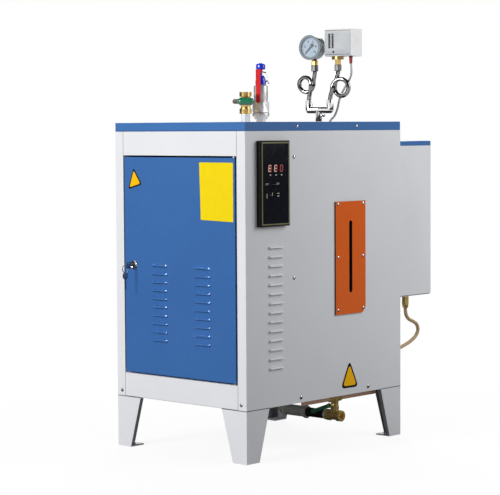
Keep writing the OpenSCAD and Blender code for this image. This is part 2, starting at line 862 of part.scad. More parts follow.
module brass_adapters() {
    wing_h = 10;
    color(brass) at_fork() translate([0, 0, nut_z + nut_h]) {
        translate([gauge_x, 0, 0]) hex(nut_r - 0.5, adapter_h);
        translate([switch_x, 0, 0]) hex(nut_r - 2, switch_foot_h - wing_h);
        translate([switch_x, 0, switch_foot_h - wing_h]) linear_extrude(wing_h) hull() {
            circle(r = nut_r + 1);
            translate([-15, 0]) circle(r = 5);
            translate([15, 0]) circle(r = 5);
        }
    }
}

module at_gauge() {
    at_fork() translate([gauge_x, gauge_c_y, gauge_z]) rotate([90, 0, 0]) children();
}

// round case that opens toward the front, with its stem
module gauge_case() {
    inner_r = gauge_r - bezel_w;
    stem_z0 = nut_z + nut_h + adapter_h;
    color([0.43, 0.49, 0.50]) union() {
        at_gauge() translate([0, 0, -gauge_d / 2]) rotate_extrude($fn = 72) polygon([[0, 0], [gauge_r - 5, 0],
            [gauge_r - 2, 3], [gauge_r - 2, gauge_d - 8], [gauge_r, gauge_d - 7], [gauge_r, gauge_d],
            [inner_r, gauge_d], [inner_r, gauge_d - 6], [0, gauge_d - 6]]);
        at_fork() translate([gauge_x, 0, stem_z0])
            cylinder(r = gauge_stem_r, h = gauge_z - inner_r - stem_z0);
    }
}

module gauge_dial() {
    color([0.73, 0.80, 0.86]) at_gauge() translate([0, 0, gauge_d / 2 - 6])
        cylinder(r = gauge_r - bezel_w, h = 1);
}

module gauge_glass() {
    color([0.9, 0.95, 1, 0.3]) at_gauge() translate([0, 0, gauge_d / 2 - 3])
        cylinder(r = gauge_r - bezel_w, h = 2);
}

module pressure_switch() {
    color([0.77, 0.78, 0.78]) at_fork() translate([switch_left, switch_front, switch_z]) difference() {
        hull() {
            translate([0, switch_bevel, 0]) cube([switch_w, switch_d - switch_bevel, switch_h]);
            translate([switch_bevel, 0, switch_bevel])
                cube([switch_w - 2 * switch_bevel, switch_d, switch_h - 2 * switch_bevel]);
        }
        translate([window_x, -1, window_z]) cube([window_w, window_sink + 1, window_h]);
        translate([adjust_x, -1, adjust_z]) rod(adjust_r, window_sink + 1, "y");
    }
}

module cable_boot() {
    color([0.65, 0.24, 0.18]) at_fork() translate([boot_x, boot_y, switch_z - boot_h])
        cylinder(r1 = cable_r + 1, r2 = cable_r + 2.4, h = boot_h);
}
// route of the lead from the switch to the cover, measured from the fork
cable_route = [[104, 10, 172], [105, 10, 162], [104, 13, 144], [94, 20, 126], [72, 27, 98], [56, 28, 68],
    [50, 27, 42], [42, 24, 20], [32, 22, 9], [28, 21, 4], [27, 21, 0]];

module switch_cable() {
    color([0.73, 0.73, 0.71]) at_fork() translate([0, 0, body_h])
        tube(curve(cable_route, 4), cable_r, [0, 1, 0], [0, 0, -1], [0, 0, -1]);
}

// pipe down from the boiler and out to the right
module drain_pipe() {
    wide_x = drum_x + drain_r + 4;
    color(steel) in_cabinet() {
        translate([drum_x, drain_y, drain_z]) cylinder(r = drain_r, h = drum_z0 + skirt_h - drain_z);
        translate([drum_x, drain_y, drain_z]) sphere(r = drain_r);
        translate([drum_x, drain_y, drain_z]) rod(drain_r, 2 * drain_r, "x");
        translate([wide_x, drain_y, drain_z]) rod(wide_r, sleeve_x - wide_x, "x");
        translate([sleeve_x - union_l, drain_y, drain_z]) rotate([0, 90, 0]) hex(union_r, union_l - 0.5);
    }
}

module drain_sleeve() {
    color(black) in_cabinet() translate([sleeve_x, drain_y, drain_z])
        rod(drain_r + 1.5, tee_x0 - sleeve_x, "x");
}

// brass tee with its open end to the right
module drain_tee() {
    color(brass) in_cabinet() difference() {
        union() {
            translate([tee_x0, drain_y, drain_z]) rod(tee_r, tee_x1 - tee_x0, "x");
            translate([tee_x0, drain_y, drain_z]) rotate([0, 90, 0]) hex(tee_r + 3, 16);
            translate([tee_x1 - socket_l + 1, drain_y, drain_z]) rod(tee_r + 2.5, socket_l - 1, "x");
            translate([branch_x, drain_y, drain_z]) cylinder(r = branch_r, h = valve_z - drain_z);
        }
        translate([tee_x1 - socket_l, drain_y, drain_z]) rod(bore_r, socket_l + 1, "x");
    }
}

module drain_valve_body() {
    up = feed_z - valve_z;
    color(brass) in_cabinet() translate([branch_x, drain_y, valve_z]) {
        hex(branch_r + 2, 8);
        translate([0, 0, 8]) cylinder(r = branch_r, h = 18);
        translate([0, -lever_out + 4, lever_hub_z - valve_z]) rod(spindle_r + 2, lever_out - 4, "y");
        translate([0, -lever_out - 5, lever_hub_z - valve_z]) rod(spindle_r, 10, "y");
        translate([0, 0, 24]) cylinder(r = elbow_r, h = up - 24);
        translate([0, -elbow_l, up]) rod(elbow_r, 2 * elbow_l, "y");
    }
}

module drain_valve_handle() {
    t = 4;
    color(green) in_cabinet() translate([branch_x, drain_y - lever_out, lever_hub_z])
        rotate([0, -lever_dip, 0]) difference() {
        union() {
            translate([0, -t, 0]) rod(lever_hub_r, t, "y");
            translate([-drain_lever_l, -t, 0]) rod(lever_half, t, "y");
            translate([-drain_lever_l, -t, -lever_half]) cube([drain_lever_l, t, 2 * lever_half]);
        }
        translate([0, -t - 1, 0]) rod(spindle_r + pin_play, t + 2, "y");
    }
}

// one end of the copper pipe: from the valve along Y, then up through the floor
module feed_run(start_y, end_y) {
    translate([branch_x, min(start_y, end_y), feed_z]) rod(feed_r, abs(end_y - start_y), "y");
    translate([branch_x, end_y, feed_z]) sphere(r = feed_r);
    translate([branch_x, end_y, feed_z]) cylinder(r = feed_r, h = leg_h - feed_z);
}

module feed_pipe() {
    color(copper) in_cabinet() {
        feed_run(drain_y + elbow_l, feed_back_y);
        feed_run(drain_y - elbow_l, feed_front_y);
    }
}

right_side_panel();
left_side_panel();
back_panel();
base_pan();
top_cover();
top_rail();
bottom_rail();
front_left_leg();
front_right_leg();
rear_left_leg();
rear_right_leg();
door();
door_lock();
door_keys();
hinge_pins();
control_box();
control_faceplate();
sight_glass_cover();
sight_glass();
sight_glass_cocks();
water_tank();
tank_floor();
tank_lid();
hose_fittings();
tank_hose();
drum_shell();
drum_top_head();
drum_bottom_head();
steam_nipple();
steam_valve_body();
steam_valve_handle();
steam_valve_grip();
safety_valve_body();
safety_valve_cap();
safety_valve_lever();
gauge_fork();
left_siphon();
right_siphon();
union_nuts();
brass_adapters();
gauge_case();
gauge_dial();
gauge_glass();
pressure_switch();
cable_boot();
switch_cable();
drain_pipe();
drain_sleeve();
drain_tee();
drain_valve_body();
drain_valve_handle();
feed_pipe();
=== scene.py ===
"""Electric steam generator: finishes, fasteners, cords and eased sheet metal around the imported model.

Shapes are drawn in millimetres in the cabinet's own frame: X to the right, Y to the back, Z up, with the
middle of the cabinet at X = Y = 0 and the floor at Z = 0.
"""
import json
import math
import bmesh
import bpy
from mathutils import Matrix, Vector


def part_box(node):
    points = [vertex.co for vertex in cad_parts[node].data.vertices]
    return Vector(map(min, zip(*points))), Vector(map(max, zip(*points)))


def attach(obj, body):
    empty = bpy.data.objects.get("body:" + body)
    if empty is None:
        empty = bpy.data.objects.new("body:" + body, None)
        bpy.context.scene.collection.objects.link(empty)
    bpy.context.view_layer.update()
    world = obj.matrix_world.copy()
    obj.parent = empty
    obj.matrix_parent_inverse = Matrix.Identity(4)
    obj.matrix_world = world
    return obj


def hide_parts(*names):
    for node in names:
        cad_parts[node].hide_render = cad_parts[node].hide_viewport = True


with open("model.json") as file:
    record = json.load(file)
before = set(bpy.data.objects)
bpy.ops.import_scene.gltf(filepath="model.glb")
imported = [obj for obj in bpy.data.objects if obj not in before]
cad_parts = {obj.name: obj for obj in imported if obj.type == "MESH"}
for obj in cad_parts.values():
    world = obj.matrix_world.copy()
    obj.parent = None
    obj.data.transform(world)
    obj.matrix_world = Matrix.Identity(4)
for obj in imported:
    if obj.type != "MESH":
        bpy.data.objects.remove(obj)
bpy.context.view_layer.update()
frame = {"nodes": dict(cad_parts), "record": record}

MM = 0.001
SLOT_OF = {part["node"]: part["material_slot"] for part in frame["record"]["subparts"]}

# Driving sizes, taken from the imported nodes
cover_low, cover_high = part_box("top_cover")
cab_y = (cover_low[1] + cover_high[1]) / 2
CABINET = Matrix.Translation((0, cab_y, 0)) @ Matrix.Scale(MM, 4)


def span(node):
    """Lowest and highest corner of a node in cabinet millimetres."""
    low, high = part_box(node)
    to_cabinet = CABINET.inverted()
    return to_cabinet @ Vector(low), to_cabinet @ Vector(high)


x1 = span("top_cover")[1].x
y1 = span("top_cover")[1].y
body_h = span("top_cover")[1].z
seam_z = span("top_cover")[0].z
leg_h = span("front_left_leg")[1].z

# Turns of the fittings on the cover, and their places
row_x = 30
steam_y = -93
safety_y, safety_turn = -28, 28
fork_y, fork_turn = 229, 11

FRONT_TURN = Matrix.Rotation(math.radians(90), 4, "X")
SIDE_TURN = Matrix(((0, 0, 1, 0), (1, 0, 0, 0), (0, 1, 0, 0), (0, 0, 0, 1)))
BACK_TURN = Matrix.Rotation(math.pi, 4, "Z") @ FRONT_TURN
LEFT_TURN = Matrix.Rotation(math.pi, 4, "Z") @ SIDE_TURN
ALONG_X = Matrix.Rotation(math.radians(90), 4, "Y")


def at(x, y, z):
    return Matrix.Translation((x, y, z))


def turn(degrees):
    return Matrix.Rotation(math.radians(degrees), 4, "Z")


def front(x, z, out=0):
    """Place on the front: drawn x to the right, drawn y up, drawn z out of the panel."""
    return at(x, -y1 - out, z) @ FRONT_TURN


def side(y, z, out=0):
    """Place on the right side."""
    return at(x1 + out, y, z) @ SIDE_TURN


def left_side(y, z):
    return at(-x1, y, z) @ LEFT_TURN


def back(x, z):
    return at(x, y1, z) @ BACK_TURN


SAFETY = at(row_x, safety_y, body_h) @ turn(safety_turn)
FORK = at(row_x, fork_y, body_h) @ turn(fork_turn)


# Camera

def make_camera():
    yaw, tilt, roll = math.radians(42.51), math.radians(3.66), math.radians(-0.34)
    look = Vector((-math.sin(yaw) * math.cos(tilt), math.cos(yaw) * math.cos(tilt), -math.sin(tilt)))
    right = Vector((math.cos(yaw), math.sin(yaw), 0))
    up = right.cross(look)
    rolled_right = right * math.cos(roll) + up * math.sin(roll)
    rolled_up = up * math.cos(roll) - right * math.sin(roll)
    data = bpy.data.cameras.new("photo_camera")
    data.sensor_fit = "HORIZONTAL"
    data.sensor_width = 36.0
    data.lens = 134.27
    data.clip_end = 200.0
    camera = bpy.data.objects.new("photo_camera", data)
    bpy.context.scene.collection.objects.link(camera)
    place = Matrix((rolled_right, rolled_up, -look)).transposed().to_4x4()
    place.translation = (3.64797, -4.07879, 0.91286)
    camera.matrix_world = place
    bpy.context.scene.camera = camera


make_camera()


# Shader trees

class Value:
    """A socket of a shader tree that takes part in sums."""

    def __init__(self, nodes, socket):
        self.nodes = nodes
        self.socket = socket

    def sum(self, operation, first, second):
        return self.nodes.node("ShaderNodeMath", {"operation": operation}, {0: first, 1: second})

    def __radd__(self, other):
        return self.sum("ADD", other, self)

    def __mul__(self, other):
        return self.sum("MULTIPLY", self, other)

    def __rmul__(self, other):
        return self.sum("MULTIPLY", other, self)

    def most(self, other):
        return self.sum("MAXIMUM", self, other)


class Nodes:
    """A shader tree, with one method that adds a node."""

    def __init__(self, tree):
        self.tree = tree

    def feed(self, socket, value):
        if isinstance(value, Value):
            self.tree.links.new(value.socket, socket)
        else:
            socket.default_value = value

    def node(self, kind, settings=None, sockets=None, out=0):
        made = self.tree.nodes.new(kind)
        for name, value in (settings or {}).items():
            setattr(made, name, value)
        for name, value in (sockets or {}).items():
            self.feed(made.inputs[name], value)
        return Value(self, made.outputs[out])


class Finish(Nodes):
    """A material with one Principled shader, whose sockets are set by name."""

    def __init__(self, name, colour, roughness, **fixed):
        self.material = bpy.data.materials.new(name)
        self.material.use_nodes = True
        super().__init__(self.material.node_tree)
        self.shader = self.tree.nodes["Principled BSDF"]
        self.place = self.node("ShaderNodeTexCoord", out="Object")
        self.set(Base_Color=colour, Roughness=roughness, **fixed)

    def set(self, **sockets):
        for name, value in sockets.items():
            self.feed(self.shader.inputs[name.replace("_", " ")], value)

    def noise(self, scale, detail=2.0, stretch=None):
        vector = self.place
        if stretch:
            vector = self.node("ShaderNodeMapping", None, {"Vector": self.place, "Scale": stretch})
        return self.node("ShaderNodeTexNoise", None, {"Vector": vector, "Scale": scale, "Detail": detail})

    def cells(self, scale):
        return self.node("ShaderNodeTexVoronoi", None, {"Vector": self.place, "Scale": scale})

    def between(self, amount, first, second):
        return self.node("ShaderNodeMix", {"data_type": "RGBA"}, {0: amount, 6: first, 7: second}, out=2)

    def bump(self, height, depth, strength=1.0):
        sockets = {"Height": height, "Distance": depth, "Strength": strength}
        normal = self.node("ShaderNodeBump", None, sockets)
        self.feed(self.shader.inputs["Normal"], normal)


def colour(red, green, blue):
    """Screen colour, 0 to 255, as linear light."""
    parts = []
    for level in (red, green, blue):
        share = level / 255
        parts.append(share / 12.92 if share <= 0.04045 else ((share + 0.055) / 1.055) ** 2.4)
    return (*parts, 1.0)


def shade(base, factor):
    return (*(min(1.0, part * factor) for part in base[:3]), 1.0)


# Finishes

def powder_coat(name, base, roughness=0.38, gloss=0.4):
    """Sprayed and baked paint: a fine orange peel, faint cloudiness and a few duller, handled patches."""
    look = Finish(name, base, roughness, Coat_Roughness=0.2, Specular_IOR_Level=gloss)
    cloud = look.noise(5.0, 3.0)
    look.set(Base_Color=look.between(cloud, shade(base, 0.95), shade(base, 1.04)))
    look.set(Roughness=roughness - 0.06 + 0.14 * look.noise(9.0, 4.0))
    look.set(Coat_Weight=0.04 + 0.08 * look.noise(3.0, 1.0))
    look.bump(look.noise(620.0, 2.0), 0.00018, 0.35)
    return look.material


def worn_metal(name, base, dark, roughness, grain=(1.0, 1.0, 1.0), coarse=60.0, metallic=1.0):
    """Bare metal: dulled in patches, with a fine grain left by the tool."""
    look = Finish(name, base, roughness, Metallic=metallic)
    patch = look.noise(coarse, 4.0)
    look.set(Base_Color=look.between(patch, dark, base))
    look.set(Roughness=roughness - 0.10 + 0.25 * look.noise(coarse * 1.7, 3.0))
    look.bump(look.noise(900.0, 2.0, grain), 0.00008, 0.35)
    return look.material


def chrome_plate(name, tone):
    base = (tone, tone, tone * 1.02, 1)
    look = Finish(name, base, 0.10, Metallic=1.0)
    look.set(Roughness=0.06 + 0.12 * look.noise(120.0, 3.0))
    look.set(Base_Color=look.between(look.noise(70.0, 2.0), shade(base, 0.8), shade(base, 1.08)))
    look.bump(look.noise(260.0, 2.0), 0.00006, 0.30)
    return look.material


def moulded(name, base, roughness, grain=480.0, coat=0.0, gloss=0.5):
    """Moulded plastic or rubber with a fine skin texture."""
    look = Finish(name, base, roughness, Coat_Weight=coat, Specular_IOR_Level=gloss)
    look.set(Base_Color=look.between(look.noise(22.0, 3.0), shade(base, 0.88), shade(base, 1.08)))
    look.set(Roughness=roughness - 0.05 + 0.12 * look.noise(60.0, 2.0))
    look.bump(look.noise(grain, 2.0), 0.00010, 0.30)
    return look.material


def dipped_sleeve():
    """Soft vinyl dip: glossy, with shallow runs and speckles where the light catches."""
    base = colour(24, 120, 82)
    look = Finish("dipped_green_sleeve", base, 0.32, Coat_Weight=0.35)
    look.set(Base_Color=look.between(look.noise(90.0, 4.0), shade(base, 0.75), shade(base, 1.25)))
    look.set(Roughness=0.24 + 0.16 * look.noise(140.0, 2.0))
    look.bump(look.noise(210.0, 3.0), 0.0006, 0.5)
    return look.material


def clear_glass(name, tint, cover):
    """Thin clear pane: mostly open, with a polished face that reflects."""
    look = Finish(name, tint, 0.03, Alpha=cover)
    look.set(Alpha=cover + 0.03 * look.noise(35.0, 2.0))
    return look.material


def braided_hose():
    """Woven cotton cover: two sets of slanted threads that cross."""
    base = colour(206, 178, 136)
    look = Finish("braided_hose", base, 0.75)
    rising = look.node("ShaderNodeTexWave", {"bands_direction": "DIAGONAL"},
                       {"Vector": look.place, "Scale": 260.0, "Distortion": 0.6}, out=1)
    falling = look.node("ShaderNodeMapping", None, {"Vector": look.place, "Scale": (1.0, -1.0, 1.0)})
    crossing = look.node("ShaderNodeTexWave", {"bands_direction": "DIAGONAL"},
                         {"Vector": falling, "Scale": 260.0, "Distortion": 0.6}, out=1)
    weave = rising.most(crossing)
    look.set(Base_Color=look.between(weave, shade(base, 0.45), shade(base, 1.15)))
    look.bump(weave, 0.0007, 0.7)
    return look.material


def glow(name, base, strength):
    look = Finish(name, shade(base, 0.2), 0.4, Emission_Strength=strength)
    look.set(Emission_Color=look.between(look.noise(400.0, 2.0), shade(base, 0.85), base))
    return look.material


def plain_print(name, base, roughness=0.5):
    """Printed film: even colour with a faint mottle."""
    look = Finish(name, base, roughness, Specular_IOR_Level=0.15)
    look.set(Base_Color=look.between(look.noise(40.0, 3.0), shade(base, 0.93), shade(base, 1.04)))
    look.set(Roughness=roughness - 0.05 + 0.1 * look.noise(80.0, 2.0))
    return look.material


def galvanised():
    """Zinc on a threaded pipe: pale, dull and blotched."""
    look = Finish("galvanised_pipe", (0.72, 0.75, 0.76, 1), 0.45, Metallic=0.35)
    spangle = look.cells(260.0)
    look.set(Base_Color=look.between(spangle, (0.93, 0.95, 0.95, 1), (0.70, 0.73, 0.74, 1)))
    look.set(Roughness=0.32 + 0.3 * look.noise(150.0, 3.0))
    look.bump(look.noise(500.0, 3.0), 0.00012, 0.5)
    return look.material


PALE = powder_coat("pale_grey_coat", colour(226, 227, 230), 0.42)
BLUE = powder_coat("blue_coat", colour(57, 104, 166), 0.26, 0.3)
COVER_BLUE = powder_coat("cover_blue_coat", colour(62, 111, 172), 0.5, 0.15)
ORANGE = powder_coat("orange_coat", colour(226, 97, 10), 0.36, 0.2)
RED = powder_coat("red_lever_coat", colour(226, 26, 32), 0.30, 0.25)
GAUGE = powder_coat("gauge_grey_coat", colour(112, 126, 130), 0.30)
BRASS = worn_metal("cast_brass", (0.82, 0.60, 0.24, 1), (0.55, 0.36, 0.12, 1), 0.34)
STEEL = worn_metal("machined_steel", (0.60, 0.60, 0.61, 1), (0.42, 0.42, 0.43, 1), 0.34, (1.0, 1.0, 6.0))
NICKEL = worn_metal("nickel_casting", (0.80, 0.78, 0.77, 1), (0.58, 0.56, 0.55, 1), 0.36, metallic=0.6)
VESSEL = worn_metal("mill_steel", (0.46, 0.47, 0.49, 1), (0.30, 0.31, 0.33, 1), 0.46, (1.0, 1.0, 0.1), 14.0)
COPPER = worn_metal("drawn_copper", (1.0, 0.66, 0.47, 1), (0.92, 0.52, 0.35, 1), 0.36, metallic=0.05)
DRAIN_BRASS = worn_metal("drain_brass", (0.95, 0.70, 0.26, 1), (0.52, 0.36, 0.10, 1), 0.26, metallic=0.7)
BROWNED = worn_metal("browned_steel", (0.50, 0.41, 0.39, 1), (0.24, 0.16, 0.14, 1), 0.30)
DARK_NUT = worn_metal("dark_nut_steel", (0.19, 0.19, 0.19, 1), (0.09, 0.09, 0.09, 1), 0.42)
KEY_STEEL = worn_metal("key_steel", (0.34, 0.35, 0.37, 1), (0.16, 0.16, 0.17, 1), 0.32)
CHROME = chrome_plate("chrome_plate", 0.78)
DARK_CHROME = chrome_plate("dark_chrome_plate", 0.26)
ZINC = galvanised()
BLACK = moulded("black_moulding", (0.006, 0.006, 0.006, 1), 0.42, 420.0, 0.0, 0.12)
SCREEN = moulded("dark_display_film", (0.006, 0.007, 0.012, 1), 0.12, 60.0, 0.6)
GREEN = dipped_sleeve()
CAP_BLUE = moulded("blue_cap", colour(26, 54, 206), 0.28, 380.0, 0.3)
SWITCH = moulded("white_moulding", colour(250, 250, 250), 0.45, 520.0)
BOOT = moulded("red_rubber_boot", colour(150, 48, 34), 0.6, 300.0)
CABLE = moulded("grey_cable_sheath", colour(186, 187, 182), 0.5, 300.0)
RUBBER = moulded("black_rubber", (0.010, 0.010, 0.010, 1), 0.55, 260.0)
HOSE = braided_hose()
CARD = plain_print("dial_card", colour(190, 208, 222), 0.6)
INK = plain_print("black_ink", (0.010, 0.010, 0.010, 1), 0.5)
YELLOW = plain_print("yellow_film", colour(240, 212, 0), 0.6)
AMBER = plain_print("amber_film", colour(254, 188, 4), 0.45)
GOLD_LINE = plain_print("olive_gold_print", colour(122, 123, 88), 0.45)
WHITE_MARK = plain_print("pale_mark", colour(196, 198, 170), 0.5)
LID = moulded("grey_lid", colour(196, 199, 199), 0.48, 520.0)
TENT_CLOTH = moulded("dark_tent_cloth", (0.03, 0.03, 0.032, 1), 0.9, 300.0)
# Darker blue for the hem of the cover: painted shade.
PAINTED_HEM_SHADE = moulded("shaded_blue_hem", colour(44, 82, 136), 0.6, 300.0)
# Grey for the strips over joints: painted shadow.
PAINTED_SEAM_SHADOW = moulded("seam_shadow", colour(84, 85, 88), 0.8, 300.0)
RIM = moulded("dark_rim", colour(52, 34, 28), 0.6, 300.0)
TAPE = plain_print("white_sealing_tape", colour(225, 224, 216), 0.7)
OLIVE = worn_metal("olive_plated_steel", (0.62, 0.63, 0.56, 1), (0.46, 0.47, 0.41, 1), 0.45, metallic=0.15)
# Dark grey for the inner faces, returns and foot plates of the legs: painted shade under the cabinet.
LEG_INSIDE_SHADE = worn_metal("leg_inside_painted_shade", (0.42, 0.42, 0.45, 1), (0.30, 0.30, 0.32, 1), 0.5, metallic=0.1)
LIT = glow("lit_segment", (1.0, 0.55, 0.45, 1), 0.54)
DIM = glow("dim_segment", (0.75, 0.08, 0.06, 1), 0.30)
UNLIT = plain_print("unlit_segment", (0.05, 0.008, 0.008, 1), 0.4)
GLASS = clear_glass("clear_glass", (0.90, 0.95, 0.97, 1), 0.10)
TUBE_GLASS = clear_glass("sight_tube_glass", (0.75, 0.85, 0.85, 1), 0.22)

FINISHES = {
    "pale_paint": PALE, "blue_paint": BLUE, "orange_paint": ORANGE, "black_plastic": BLACK,
    "black_glass": SCREEN, "bright_steel": STEEL, "chrome": CHROME, "brass": BRASS, "green_sleeve": GREEN,
    "red_lever": RED, "blue_cap": CAP_BLUE, "gauge_grey": GAUGE, "dial": CARD, "glass": GLASS,
    "switch_grey": SWITCH, "boot_red": BOOT, "cable_grey": CABLE, "hose_tan": HOSE,
    "black_sleeve": RUBBER, "copper": COPPER, "vessel_steel": VESSEL,
}
NODE_FINISHES = {
    "steam_nipple": ZINC, "safety_valve_body": NICKEL, "sight_glass": TUBE_GLASS, "drain_pipe": OLIVE,
    "drain_tee": DRAIN_BRASS, "drain_valve_body": DRAIN_BRASS, "top_cover": COVER_BLUE,
    "tank_lid": COVER_BLUE, "union_nuts": DARK_NUT, "steam_valve_handle": BROWNED, "door_keys": KEY_STEEL,
    "door_lock": CHROME,
}


def finish_of(node):
    return NODE_FINISHES.get(node, FINISHES[SLOT_OF[node]])


def dress_nodes():
    """Give every carried-over node its finish."""
    for name, node in frame["nodes"].items():
        node.data.materials.clear()
        node.data.materials.append(finish_of(name))


dress_nodes()


# Shapes

def closed(shape):
    bmesh.ops.remove_doubles(shape, verts=shape.verts, dist=1e-4)
    bmesh.ops.recalc_face_normals(shape, faces=shape.faces)
    return shape


def bevel(shape, edges, width, segments=2):
    bmesh.ops.bevel(shape, geom=edges, offset=width, offset_type="OFFSET", segments=segments, profile=0.5,
                    affect="EDGES", clamp_overlap=True, material=-1)
    return shape


def lathe(outline, steps=40, ring=False):
    """Outline of (radius, height) points turned about Z; a ring's outline closes on itself."""
    shape = bmesh.new()
    points = [shape.verts.new((radius, 0, height)) for radius, height in outline]
    edges = [shape.edges.new(pair) for pair in zip(points, points[1:])]
    if ring:
        edges.append(shape.edges.new((points[-1], points[0])))
    bmesh.ops.spin(shape, geom=points + edges, cent=(0, 0, 0), axis=(0, 0, 1), angle=math.tau, steps=steps,
                   use_merge=True)
    return closed(shape)


def collar(inner, outer, length, edge=0.4, steps=40):
    return lathe([(inner, 0), (outer - edge, 0), (outer, edge), (outer, length - edge),
                  (outer - edge, length), (inner, length)], steps, ring=True)


def slab(low, high):
    low, high = Vector(low), Vector(high)
    shape = bmesh.new()
    bmesh.ops.create_cube(shape, size=1.0)
    bmesh.ops.scale(shape, vec=high - low, verts=shape.verts)
    bmesh.ops.translate(shape, vec=(low + high) / 2, verts=shape.verts)
    return shape


def plate(outline, thickness, edge=0.0, corner=0.0):
    """Flat outline of (x, y) points, its corners rounded, raised along Z, its upper rim eased."""
    shape = bmesh.new()
    shape.faces.new([shape.verts.new((x, y, 0)) for x, y in outline])
    if corner:
        bmesh.ops.bevel(shape, geom=shape.verts[:], offset=corner, offset_type="OFFSET", segments=5,
                        profile=0.5, affect="VERTICES", material=-1)
    raised = bmesh.ops.extrude_face_region(shape, geom=shape.faces[:])
    tops = [part for part in raised["geom"] if isinstance(part, bmesh.types.BMVert)]
    bmesh.ops.translate(shape, vec=(0, 0, thickness), verts=tops)
    closed(shape)
    if edge:
        rim = [line for line in shape.edges if all(v.co.z > thickness - 1e-6 for v in line.verts)]
        bevel(shape, rim, edge, 1)
    return shape


def rectangle(width, height):
    x, y = width / 2, height / 2
    return [(-x, -y), (x, -y), (x, y), (-x, y)]


def framed_plate(outer, window, thickness, edge):
    """Rectangular plate with a rectangular window, each given as (low x, low y, high x, high y)."""
    shape = bmesh.new()
    xs = (outer[0], window[0], window[2], outer[2])
    ys = (outer[1], window[1], window[3], outer[3])
    spots = [[shape.verts.new((x, y, 0)) for x in xs] for y in ys]
    for row in range(3):
        for column in range(3):
            if (row, column) != (1, 1):
                shape.faces.new((spots[row][column], spots[row][column + 1], spots[row + 1][column + 1],
                                 spots[row + 1][column]))
    raised = bmesh.ops.extrude_face_region(shape, geom=shape.faces[:])
    tops = [part for part in raised["geom"] if isinstance(part, bmesh.types.BMVert)]
    bmesh.ops.translate(shape, vec=(0, 0, thickness), verts=tops)
    closed(shape)
    rim = [line for line in shape.edges if all(v.co.z > thickness - 1e-6 for v in line.verts)
           and line.calc_face_angle() > 1.0]
    return bevel(shape, rim, edge, 2)


def from_curve(data):
    """Shape of a curve or text, read off as a mesh."""
    holder = bpy.data.objects.new("drawn_line", data)
    mesh = bpy.data.meshes.new_from_object(holder)
    shape = bmesh.new()
    shape.from_mesh(mesh)
    bpy.data.objects.remove(holder)
    bpy.data.curves.remove(data)
    bpy.data.meshes.remove(mesh)
    return closed(shape)


def line_curve(name, path, radius, fullness=4):
    data = bpy.data.curves.new(name, "CURVE")
    data.dimensions = "3D"
    data.bevel_depth = radius
    data.bevel_resolution = fullness
    data.use_fill_caps = True
    line = data.splines.new("POLY")
    line.points.add(len(path) - 1)
    for point, place in zip(line.points, path):
        point.co = (*place, 1.0)
    return data


def pipe(path, radius, fullness=4):
    return from_curve(line_curve("pipe_line", path, radius, fullness))


def words(letters, size, thickness, weight=0.0):
    data = bpy.data.curves.new("marks", "FONT")
    data.body = letters
    data.size = size
    data.extrude = thickness
    data.offset = weight
    data.resolution_u = 3
    data.align_x = "CENTER"
    data.align_y = "CENTER"
    return from_curve(data)


def placed(shape, place):
    shape.transform(place)
    return shape


def tinted(shape, index):
    for face in shape.faces:
        face.material_index = index
    return shape


def together(*shapes):
    whole = bmesh.new()
    for shape in shapes:
        scratch = bpy.data.meshes.new("scratch")
        shape.to_mesh(scratch)
        shape.free()
        whole.from_mesh(scratch)
        bpy.data.meshes.remove(scratch)
    return whole


def piece(name, shape, finishes, body="cabinet", stands_for=(), crease=32):
    """Finished object of a shape drawn in cabinet millimetres."""
    shape.transform(CABINET)
    mesh = bpy.data.meshes.new(name)
    shape.to_mesh(mesh)
    shape.free()
    for finish in finishes if isinstance(finishes, tuple) else (finishes,):
        mesh.materials.append(finish)
    mesh.shade_smooth()
    mesh.set_sharp_from_angle(angle=math.radians(crease))
    made = bpy.data.objects.new(name, mesh)
    bpy.context.scene.collection.objects.link(made)
    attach(made, body)
    if stands_for:
        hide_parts(*stands_for)
    return made


def node_shape(node):
    """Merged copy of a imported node, in cabinet millimetres."""
    shape = bmesh.new()
    shape.from_mesh(frame["nodes"][node].data)
    shape.transform(CABINET.inverted())
    bmesh.ops.remove_doubles(shape, verts=shape.verts, dist=0.004)
    bmesh.ops.dissolve_limit(shape, angle_limit=math.radians(0.8), verts=shape.verts[:],
                             edges=shape.edges[:])
    return shape


def eased(node, width, segments=2):
    """Shape of a node with its sharp edges rounded, as bent sheet and machined edges are."""
    shape = node_shape(node)
    sharp = [edge for edge in shape.edges if len(edge.link_faces) == 2
             and edge.calc_face_angle() > math.radians(28)]
    return bevel(shape, sharp, width, segments)


def softened(node, width, body="cabinet"):
    piece(node + "_eased", eased(node, width), finish_of(node), body, stands_for=(node,), crease=24)


# Cords, along the same routes as their solids

def smooth_route(points, steps=8):
    """Curve through the route's points, each stretch in equal steps."""
    points = [Vector(point) for point in points]
    last = len(points) - 1
    path = []
    for i in range(last):
        a, b, c, d = points[max(i - 1, 0)], points[i], points[i + 1], points[min(i + 2, last)]
        for k in range(steps):
            t = k / steps
            path.append(0.5 * (2 * b + (c - a) * t + (2 * a - 5 * b + 4 * c - d) * t * t
                               + (3 * b - a - 3 * c + d) * t ** 3))
    return path + [points[-1]]


def cord(name, points, place, radius, finish, node):
    path = [CABINET @ place @ point for point in smooth_route(points)]
    data = line_curve(name, path, radius * MM, 5)
    data.materials.append(finish)
    made = bpy.data.objects.new(name, data)
    bpy.context.scene.collection.objects.link(made)
    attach(made, "cabinet")
    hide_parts(node)
    length = sum((b - a).length for a, b in zip(path, path[1:]))


